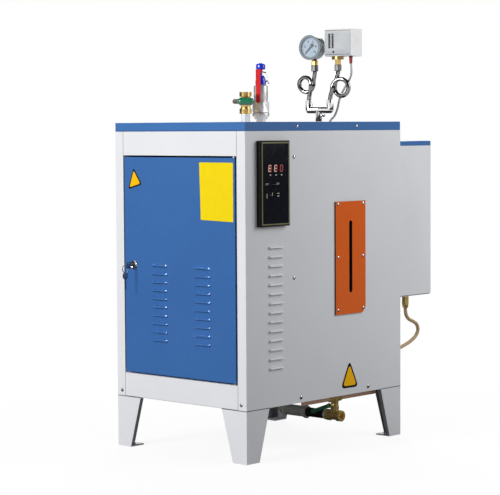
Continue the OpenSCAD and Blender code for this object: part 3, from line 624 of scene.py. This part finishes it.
hose_x = x1 - 37
tank_z = span("water_tank")[0].z
hose_route = [(0, 72, -37), (0, 72.5, -48), (0, 77, -62), (0, 90, -74), (0, 110, -82), (0, 127, -92),
              (0, 134, -108), (0, 126, -124), (0, 104, -138), (0, 76, -148), (0, 40, -157), (0, 20, -160),
              (0, 10, -160)]
cable_route = [(104, 10, 172), (105, 10, 162), (104, 13, 144), (94, 20, 126), (72, 27, 98), (56, 28, 68),
               (50, 27, 42), (42, 24, 20), (32, 22, 9), (28, 21, 4), (27, 21, 0)]
cord("feed_hose", hose_route, at(hose_x, y1, tank_z), 5.3, HOSE, "tank_hose")
cord("switch_lead", cable_route, FORK, 3.2, CABLE, "switch_cable")


# Sheet metal

def leg_sheet(node):
    """Folded leg, pale paint outside; its inside, its returns and its foot plate are dark grey, painted
    shade.
    """
    shape = eased(node, 0.9)
    for face in shape.faces:
        middle = face.calc_center_median()
        # Faces off the outer skin take the dark grey of painted shade.
        face.material_index = 0 if abs(middle.x) > x1 - 0.8 or abs(middle.y) > y1 - 0.8 else 1
    piece(node + "_sheet", shape, (PALE, LEG_INSIDE_SHADE), stands_for=(node,), crease=24)


LEGS = ("front_left_leg", "front_right_leg", "rear_left_leg", "rear_right_leg")
for leg in LEGS:
    leg_sheet(leg)


def strip(x_ends, y_ends, low, high):
    """Thin upright strip between two X and two Y places, in any order."""
    return slab((min(x_ends), min(y_ends), low), (max(x_ends), max(y_ends), high))


def leg_seam_shadows(node):
    """Painted shadow strip over the narrow joint at a leg's top, along the front or back panel and along
    the side panel.
    """
    leg = node_shape(node)
    top = [v.co.copy() for v in leg.verts if v.co.z > leg_h - 4]
    leg.free()
    x_sign, y_sign = math.copysign(1, top[0].x), math.copysign(1, top[0].y)
    inner_x = x_sign * min(abs(spot.x) for spot in top if abs(spot.y) > y1 - 0.5)
    inner_y = y_sign * min(abs(spot.y) for spot in top if abs(spot.x) > x1 - 0.5)
    proud, sunk, half = 0.1, 0.3, 1.0
    outer_x, outer_y = x_sign * (x1 + proud), y_sign * (y1 + proud)
    sunk_x, sunk_y = x_sign * (x1 - sunk), y_sign * (y1 - sunk)
    low, high = leg_h - half, leg_h + half
    return [strip((inner_x, outer_x), (sunk_y, outer_y), low, high),
            strip((sunk_x, outer_x), (inner_y, outer_y), low, high)]


def painted_seam_shadows():
    """Painted shadow lines over the joints: over the legs, at both ends of the front rails and under the
    tank, and a painted shaded hem along the cover.
    """
    proud, sunk = 0.06, 0.3
    lines = [line for node in LEGS for line in leg_seam_shadows(node)]
    for node in ("top_rail", "bottom_rail"):
        low, high = span(node)
        for x in (low.x, high.x):
            lines.append(strip((x - 0.5, x + 0.5), (-y1 - proud, -y1 + sunk), low.z, high.z))
    low, high = span("water_tank")
    lines.append(strip((high.x - sunk, high.x + proud), (low.y, high.y - 7), low.z + 1.0, low.z + 3.0))
    piece("painted_seam_shadows", together(*lines), PAINTED_SEAM_SHADOW)
    low, high = span("top_cover")
    # Darker blue strip along the foot of the cover's skirt: painted shade.
    hem = strip((low.x + 1.5, high.x - 1.5), (low.y - proud, low.y + sunk), low.z + 1.2, low.z + 3.2)
    piece("cover_hem_painted_shade", hem, PAINTED_HEM_SHADE)


painted_seam_shadows()
softened("top_cover", 1.8)
softened("top_rail", 0.5)
softened("bottom_rail", 0.5)
softened("tank_lid", 1.8)
softened("control_box", 1.0)


def sight_cover():
    """Orange plate with a dark rim all round and inside its slot."""
    shape = node_shape("sight_glass_cover")
    for face in shape.faces:
        face.material_index = 0 if abs(face.normal.x) > 0.9 else 1
    piece("sight_cover_plate", shape, (ORANGE, RIM), stands_for=("sight_glass_cover",), crease=24)


sight_cover()


def tank_walls():
    """Open tank folded from sheet, its floor rounded up into the walls."""
    low, high = span("water_tank")
    fold, wall = 8.0, 2.0
    shape = slab(low, high)
    top = max(shape.faces, key=lambda face: face.calc_center_median().z)
    bmesh.ops.delete(shape, geom=[top], context="FACES_ONLY")
    floor_edges = [edge for edge in shape.edges if all(v.co.z < low.z + 1 for v in edge.verts)]
    bevel(shape, [edge for edge in floor_edges if edge.calc_length() > 300], fold, 5)
    corners = [edge for edge in shape.edges if edge.calc_length() > 300
               and abs(edge.verts[0].co.z - edge.verts[1].co.z) > 300]
    bevel(shape, corners, 2.0, 2)
    bmesh.ops.solidify(shape, geom=shape.faces[:], thickness=wall)
    return shape


piece("tank_walls", tank_walls(), PALE, stands_for=("water_tank", "tank_floor"), crease=24)


# Small screws

def screw(radius):
    """Domed head with its cross recess drawn as a dark cross on the dome: painted shade of the recess."""
    height = radius * 0.55
    arc = [(radius * math.cos(a), height * math.sin(a)) for a in (k * math.pi / 10 for k in range(5))]
    head = lathe([(0, 0)] + arc + [(0, height)], 20)
    half, slit = radius * 0.5, radius * 0.11
    # The dark cross stands a hair above the dome: painted shade, no recess is cut.
    painted_recess_shade = [slab((-half, -slit, height * 0.5), (half, slit, height * 1.02)),
            slab((-slit, -half, height * 0.5), (slit, half, height * 1.02))]
    return together(head, *(tinted(arm, 1) for arm in painted_recess_shade))


def screw_row(name, places, radius, finish):
    heads = [placed(screw(radius), place) for place in places]
    piece(name, together(*heads), (finish, INK))


cover_screw_z = (body_h + seam_z) / 2
side_screws = [(-138, 833), (-141, 498), (-113, 160.5), (185, 160.5)]
plate_out = span("sight_glass_cover")[1].x - x1
screw_row("skirt_screws", [spot(y, cover_screw_z) for spot in (side, left_side) for y in (-124, 136)],
          5.2, CHROME)
screw_row("panel_screws", [side(y, z) for y, z in side_screws] + [left_side(-y, z) for y, z in side_screws],
          5.8, CHROME)
screw_row("post_screws", [front(x, 162) for x in (-233.5, 233)], 5.0, KEY_STEEL)
screw_row("sight_cover_screws", [side(y, z, plate_out) for y in (46.4, 158.5) for z in (393, 544, 696)],
          5.0, CHROME)
screw_row("back_screws", [back(x, z) for x in (11 - x1, x1 - 11) for z in (190, 370, 550, 730, 890)],
          4.6, STEEL)


# Plates on the door and on the side

def notice_plate():
    """Yellow sheet, cut a little out of square."""
    middle_x, middle_z = 146, 740
    shape = plate([(-60, -78), (62, -81), (62, 80), (-65, 80)], 0.7, 0.2, 2.0)
    piece("yellow_notice_plate", placed(shape, front(middle_x, middle_z)), YELLOW, "door_leaf")


def triangle_plate(name, outline, place, body, corner):
    """Yellow triangle on a dark border."""
    inner_share = 0.77
    middle = sum((Vector(point) for point in outline), Vector((0, 0))) / 3
    inner = [middle + (Vector(point) - middle) * inner_share for point in outline]
    dark = tinted(plate([tuple(point) for point in outline], 0.5, 0.1, corner), 1)
    face = placed(plate([tuple(point) for point in inner], 0.35, 0.1, corner * 0.75), at(0, 0, 0.4))
    piece(name, placed(together(dark, face), place), (AMBER, INK), body)


notice_plate()
door_triangle = [(-201, 741), (-145, 756), (-179, 803)]
side_triangle = [(61, 166), (140, 165), (100.4, 245)]
triangle_plate("door_triangle_plate", door_triangle, front(0, 0), "door_leaf", 7.0)
triangle_plate("side_triangle_plate", side_triangle, side(0, 0), "cabinet", 15.0)


# Control box face

box_low, box_high = span("control_box")
face_out = box_high.x - x1
box_mid_y = (box_low.y + box_high.y) / 2
box_mid_z = (box_low.z + box_high.z) / 2
SEGMENTS = {0: "abcdef", 8: "abcdefg"}


def digit_bar(length, thick):
    half, end = thick / 2, length / 2
    return plate([(-end, 0), (-end + half, -half), (end - half, -half), (end, 0), (end - half, half),
                  (-end + half, half)], 0.3)


def digit(number, bright):
    """Seven slanting bars; those of the number are lit, a bright digit's left bars most."""
    width, height, thick = 9.6, 16.6, 2.6
    half_w, quarter = width / 2, height / 4
    across = [("a", 2 * quarter), ("g", 0), ("d", -2 * quarter)]
    upright = [("b", half_w, quarter), ("c", half_w, -quarter), ("e", -half_w, -quarter),
               ("f", -half_w, quarter)]
    bars = [(name, at(0, y, 0)) for name, y in across]
    bars += [(name, at(x, y, 0) @ turn(90)) for name, x, y in upright]
    lean = Matrix.Identity(4)
    lean[0][1] = 0.08
    shapes = []
    for name, place in bars:
        lit = 1 if name not in SEGMENTS[number] else 0 if bright and name not in "bc" else 2
        shapes.append(tinted(placed(digit_bar(8.6, thick), lean @ place), lit))
    return together(*shapes)


def control_face():
    sunk = face_out - 0.5
    digits_z, dots_z, words_z = 803.5, 785.5, 761
    digits = [placed(digit(number, bright), side(y, digits_z, sunk))
              for y, number, bright in ((-255.5, 8, True), (-232, 8, True), (-208.5, 0, False))]
    piece("display_digits", together(*digits), (LIT, UNLIT, DIM))
    inset, band = 4.2, 3.6
    half_w, half_h = (box_high.y - box_low.y) / 2 - inset, (box_high.z - box_low.z) / 2 - inset
    window = (band - half_w, band - half_h, half_w - band, half_h - band)
    trim = framed_plate((-half_w, -half_h, half_w, half_h), window, 0.4, 0.1)
    piece("control_trim", placed(trim, side(box_mid_y, box_mid_z, face_out - 0.05)), GOLD_LINE)
    marks = [placed(plate(rectangle(5.5, 3.5), 0.2), side(y, dots_z, sunk)) for y in (-254, -230.5, -208)]
    marks += [placed(words(letters, 8, 0.15), side(y, words_z, sunk))
              for letters, y in (("ON", -268), ("OFF", -224))]
    strokes = ((-268, 729, 2.4, 12), (-246, 733, 2.4, 9), (-222, 735, 9, 2.2), (-222, 728, 9, 2.2))
    for y, z, width, height in strokes:
        marks.append(placed(plate(rectangle(width, height), 0.2), side(y, z, sunk)))
    piece("control_marks", together(*marks), WHITE_MARK)


control_face()


# Fittings on the cover, the lock and the drain

def lock_barrel():
    """Bright lock with a dark face."""
    shape = eased("door_lock", 1.6, 3)
    for face in shape.faces:
        face.material_index = 1 if face.normal.y < -0.9 else 0
    piece("door_lock_barrel", shape, (CHROME, DARK_NUT), "door_leaf", stands_for=("door_lock",), crease=24)


def lock_rosette():
    """Pressed ring round the lock, with a flat dark ring inside it: painted shade where a hollow would be.
    """
    low, high = span("door_lock")
    ring = lathe([(9.0, 0), (13.5, 0), (13.5, 1.2), (12.6, 2.4), (10.4, 2.8), (9.0, 2.0)], 40, ring=True)
    # Flat dark ring at the door's face: painted shade of the hollow round the lock.
    painted_hollow_shade = tinted(lathe([(7.0, 0), (9.2, 0), (9.2, 0.5), (7.0, 0.5)], 40, ring=True), 1)
    spot = front((low.x + high.x) / 2, (low.z + high.z) / 2)
    piece("door_lock_rosette", placed(together(ring, painted_hollow_shade), spot), (CHROME, DARK_NUT), "door_leaf")


EASED_FITTINGS = (
    ("steam_valve_body", 0.8), ("safety_valve_body", 0.6), ("safety_valve_cap", 0.8), ("gauge_fork", 0.5),
    ("brass_adapters", 0.6), ("gauge_case", 0.7), ("union_nuts", 1.0), ("hose_fittings", 0.8))
for node, width in EASED_FITTINGS:
    softened(node, width)
softened("steam_valve_handle", 0.5, "steam_handle")
softened("safety_valve_lever", 0.6, "safety_lever")
lock_barrel()
lock_rosette()
softened("door_keys", 0.35, "door_leaf")
softened("pressure_switch", 1.6)
softened("drain_tee", 0.8)
softened("drain_pipe", 0.8)
softened("drain_valve_body", 0.6)
softened("drain_valve_handle", 1.0, "drain_handle")


def thread(outer, depth, pitch, low, high):
    """Outline of a threaded stretch, from its lower to its upper end."""
    turns = int((high - low) / pitch)
    outline = []
    for i in range(turns):
        z = low + i * pitch
        outline += [(outer - depth, z), (outer, z + 0.4 * pitch), (outer, z + 0.6 * pitch)]
    return outline + [(outer - depth, high)]


def steam_nipple():
    low, high = span("steam_nipple")
    outer, bore = (high.x - low.x) / 2, 8.0
    outline = [(bore, low.z), (outer, low.z), (outer, body_h - 6)]
    outline += thread(outer, 1.1, 2.3, body_h - 5, high.z - 0.2) + [(bore, high.z - 0.2)]
    piece("threaded_steam_nipple", placed(lathe(outline, 40, ring=True), at(row_x, steam_y, 0)), ZINC,
          stands_for=("steam_nipple",))


steam_nipple()


def siphon(side_sign, loop, arm, start, top, z0, zc, z1):
    """Centre line of a siphon: up from the fork, once around, up to its nut."""
    pitch = siphon_r + 1
    mid = start + side_sign * loop
    steps, turns = 12, 40

    def ease(t):
        return t * t * (3 - 2 * t)

    rise = [(arm + (start - arm) * ease(i / steps), -pitch * ease(i / steps), z0 + (zc - z0) * i / steps)
            for i in range(steps)]
    ring = [(mid - side_sign * loop * math.cos(math.tau * i / turns), pitch * (2 * i / turns - 1),
             zc + loop * math.sin(math.tau * i / turns)) for i in range(turns + 1)]
    leave = [(start + (top - start) * ease(i / steps), pitch * (1 - ease(i / steps)),
              zc + (z1 - zc) * i / steps) for i in range(1, steps + 1)]
    return rise + ring + leave


siphon_r = 6.5
gauge_x, switch_x = -13, 66
nut_z = 151
left_line = siphon(-1, 22, -33, gauge_x - 9, gauge_x, 66, 112, nut_z)
right_line = siphon(1, 25, 39, switch_x - 15, switch_x, 66, 102, nut_z)
for node, line in (("left_siphon", left_line), ("right_siphon", right_line)):
    piece(node + "_coil", placed(pipe(line, siphon_r, 6), FORK), DARK_CHROME, stands_for=(node,))


# Gauge face
GAUGE_FACE = FORK @ at(gauge_x, -11, 221) @ FRONT_TURN
dial_out = 14.0


def dial_spot(angle, radius, out):
    return Matrix.Rotation(math.radians(angle), 4, "Z") @ at(radius, 0, out)


def gauge_face():
    first, last, steps = 225, -45, 50
    scale_r, number_r = 27.5, 18.5
    ticks = []
    for i in range(steps + 1):
        angle = first + (last - first) * i / steps
        length = 5.0 if i % 10 == 0 else 3.6 if i % 5 == 0 else 2.2
        width = 0.7 if i % 10 == 0 else 0.4
        spot = dial_spot(angle, scale_r - length / 2, dial_out)
        ticks.append(placed(plate(rectangle(length, width), 0.15), spot))
    for i in range(6):
        angle = math.radians(first + (last - first) * i / 5)
        spot = at(number_r * math.cos(angle), number_r * math.sin(angle), dial_out)
        ticks.append(placed(words(str(2 * i), 8.6, 0.1, 0.4), spot))
    piece("gauge_scale", placed(together(*ticks), GAUGE_FACE), INK)
    hand = plate([(-6, -2.6), (0, -3.0), (25.5, -1.5), (25.5, 1.5), (0, 3.0), (-6, 2.6)], 0.5)
    weight = placed(lathe([(0, 0), (5.6, 0), (5.6, 0.5), (0, 0.5)], 24), at(-8.5, 0, 0))
    hub = lathe([(0, 0), (3.2, 0), (3.2, 0.8), (2.4, 1.5), (0, 1.5)], 24)
    swing = Matrix.Rotation(math.radians(226), 4, "Z") @ at(0, 0, 0.6)
    pointer = together(placed(hand, swing), placed(weight, swing), hub)
    piece("gauge_pointer", placed(pointer, GAUGE_FACE @ at(0, 0, dial_out)), INK)


gauge_face()


# Pressure switch details
switch_w, switch_h, switch_front_y, switch_z, switch_left = 93, 80, -16, 194, 28
SWITCH_FACE = FORK @ at(switch_left, switch_front_y, switch_z) @ FRONT_TURN


def switch_details():
    """Front lid with its window, two dark scales behind it, and the adjusting screw under them."""
    lid = framed_plate((3.5, 5.5, switch_w - 3.5, switch_h - 5.5), (14.5, 22.5, 32.5, 66.5), 0.9, 0.4)
    piece("switch_lid", placed(lid, SWITCH_FACE), LID)
    lines = [placed(slab((3.2, height - 0.7, -1.4), (switch_w - 3.2, height + 0.7, 0.25)), SWITCH_FACE)
             for height in (4.4, switch_h - 4.4)]
    piece("switch_lid_gap", together(*lines), INK)
    shapes = [tinted(placed(plate(rectangle(18.4, 44.4), 0.3, 0.1, 1.0), at(23.5, 44.5, -1.9)), 1)]
    for x, width in ((18.2, 5.0), (28.2, 6.4)):
        shapes.append(placed(plate(rectangle(width, 42), 0.3), at(x, 44.5, -1.65)))
        for i in range(9):
            length = 4.0 if i % 4 == 0 else 2.4
            shapes.append(tinted(placed(plate(rectangle(length, 0.6), 0.2), at(x, 28.5 + 4 * i, -1.4)), 1))
    piece("switch_scales", placed(together(*shapes), SWITCH_FACE), (INK, LID))
    piece("switch_screw", placed(screw(3.6), SWITCH_FACE @ at(32, 12, 0.5)), (RUBBER, INK))


switch_details()


# Seal and wire of the safety valve

def safety_seal():
    """Red tag by the lever, and the sealing screw with its lead on the cap."""
    tag = pipe(smooth_route([(3, -8, 147), (8, -7, 144), (14, -5, 142.5), (17, -4, 141)], 6), 1.7, 3)
    stub = lathe([(0, 0), (2.6, 0), (2.6, 8), (1.8, 9), (0, 9)], 20)
    placed(stub, at(11, 3, 118) @ turn(14.5) @ ALONG_X)
    lead = lathe([(0, 0), (2.0, 0), (2.6, 0.8), (2.6, 3.2), (2.0, 4), (0, 4)], 20)
    placed(lead, at(20, 5, 112) @ ALONG_X)
    wire = pipe(smooth_route([(17, -4, 141), (20, -1, 132), (21, 2, 122), (21.5, 5, 113)], 6), 0.35, 2)
    piece("seal_tag", placed(tag, SAFETY), BOOT)
    piece("seal_stub", placed(stub, SAFETY), CAP_BLUE)
    piece("seal_lead", placed(together(lead, wire), SAFETY), STEEL)


safety_seal()


# Drain details
tee_low = span("drain_tee")[0]
drain_y, drain_z = 84, span("drain_sleeve")[0].z + 13.5
DRAIN = at(0, drain_y, drain_z) @ ALONG_X


def drain_rings():
    """Turns of sealing tape at the joints of the drain pipe."""
    tape = [placed(collar(11.5, outer, width, 0.5), DRAIN @ at(0, 0, x))
            for x, outer, width in ((17, 15.4, 3.5), (22.4, 16.6, 4.0), (tee_low.x - 4.5, 15.4, 5.0))]
    piece("sealing_tape", together(*tape), TAPE)


drain_rings()


# Stage

def make_stage():
    stage_piece("studio_floor", disc(40.0, (0, 0, 0), 64), floor_paint())
    dark_tent()
    light_world()
    lamp("key_light", (-0.5, -4.4, 2.2), 168, 1.2)
    lamp("side_light", (1.7, 1.0, 1.6), 25, 1.4)
    lamp("back_light", (-2.4, 2.6, 2.0), 90, 2.0)
    door_glint()


def stage_piece(name, shape, finish):
    mesh = bpy.data.meshes.new(name)
    shape.to_mesh(mesh)
    shape.free()
    mesh.materials.append(finish)
    made = bpy.data.objects.new(name, mesh)
    bpy.context.scene.collection.objects.link(made)
    return made


def disc(radius, place, segments=48):
    shape = bmesh.new()
    bmesh.ops.create_circle(shape, cap_ends=True, segments=segments, radius=radius,
                            matrix=Matrix.Translation(place))
    return shape


def dark_tent():
    """Dark cloth round the object, open toward the front, and a pale shelf on the cover.

    Both show only in reflections.
    """
    shape = bmesh.new()
    bmesh.ops.create_uvsphere(shape, u_segments=48, v_segments=24, radius=6.5)
    opening = Vector((-0.26, -0.97, 0))
    cut = [face for face in shape.faces if in_opening(face.calc_center_median(), opening, 30, 7, 34)]
    bmesh.ops.delete(shape, geom=cut, context="FACES")
    low = [face for face in shape.faces if face.calc_center_median().z < 0]
    bmesh.ops.delete(shape, geom=low, context="FACES")
    fork_foot = CABINET @ Vector((row_x, fork_y, body_h + 2))
    mats = [disc(1.8, (0, 0, 0.003)), disc(2.4, (-2.3, -3.0, 0.004)), disc(0.10, fork_foot, 32)]
    top = body_h * MM
    shelf = slab((-x1 * MM, cover_low[1], top + 0.001), (x1 * MM, cover_high[1], top + 0.0015))
    for made in (stage_piece("dark_tent", together(shape, *mats), TENT_CLOTH),
                 stage_piece("pale_shelf", shelf, glow("pale_shelf_glow", (0.9, 0.9, 0.9, 1), 0.9))):
        made.visible_camera = False
        made.visible_diffuse = False
        made.visible_transmission = False
        made.visible_shadow = False


def door_glint():
    """Wide lamp overhead that shows only in the gloss of the door, at the ends of its pressed hoods."""
    made = lamp("door_glint", (1.3, -0.2, 3.0), 2200, 4.0)
    made.visible_diffuse = False
    lit = bpy.data.collections.new("door_gloss")
    lit.objects.link(frame["nodes"]["door"])
    made.light_linking.receiver_collection = lit


def in_opening(place, toward, half_width, low, high):
    """Whether a place lies in an opening: its compass angle from toward, and its angle above the floor."""
    flat = Vector((place.x, place.y, 0))
    if flat.length < 1e-6 or flat.angle(toward) > math.radians(half_width):
        return False
    return low < math.degrees(math.atan2(place.z, flat.length)) < high


def seen_directly(nodes):
    names = ("Is Camera Ray", "Is Glossy Ray", "Is Transmission Ray")
    camera, glossy, through = (nodes.node("ShaderNodeLightPath", out=name) for name in names)
    return camera.most(glossy).most(through)


def floor_paint():
    """White floor that keeps a soft shadow near the object."""
    look = Finish("white_floor", (0.82, 0.82, 0.82, 1), 0.9)
    look.set(Base_Color=look.between(seen_directly(look), (0.24, 0.24, 0.24, 1), (0.92, 0.92, 0.92, 1)))
    distance = look.node("ShaderNodeVectorMath", {"operation": "LENGTH"}, {0: look.place}, out=1)
    near = look.node("ShaderNodeMapRange", None, {0: distance, 1: 0.4, 2: 1.6, 3: 0.90, 4: 1.0})
    white = look.node("ShaderNodeEmission", None, {"Color": (1, 1, 1, 1), "Strength": 1.0})
    base = Value(look, look.shader.outputs[0])
    mixed = look.node("ShaderNodeMixShader", None, {0: near * seen_directly(look), 1: base, 2: white})
    look.feed(look.tree.nodes["Material Output"].inputs["Surface"], mixed)
    return look.material


def light_world():
    world = bpy.data.worlds.new("studio_world")
    bpy.context.scene.world = world
    world.use_nodes = True
    nodes = Nodes(world.node_tree)
    soft = nodes.node("ShaderNodeBackground", None, {"Color": (0.96, 0.97, 1.0, 1), "Strength": 0.28})
    white = nodes.node("ShaderNodeBackground", None, {"Color": (1, 1, 1, 1), "Strength": 1.0})
    mixed = nodes.node("ShaderNodeMixShader", None, {0: seen_directly(nodes), 1: soft, 2: white})
    nodes.feed(world.node_tree.nodes["World Output"].inputs["Surface"], mixed)


def lamp(name, place, power, size):
    data = bpy.data.lights.new(name, "AREA")
    data.energy = power
    data.size = size
    made = bpy.data.objects.new(name, data)
    bpy.context.scene.collection.objects.link(made)
    made.visible_camera = False
    made.location = place
    aim = Vector((0, 0, 0.6)) - Vector(place)
    made.rotation_euler = aim.to_track_quat("-Z", "Y").to_euler()
    return made


make_stage()
bpy.context.scene.view_settings.view_transform = "Standard"
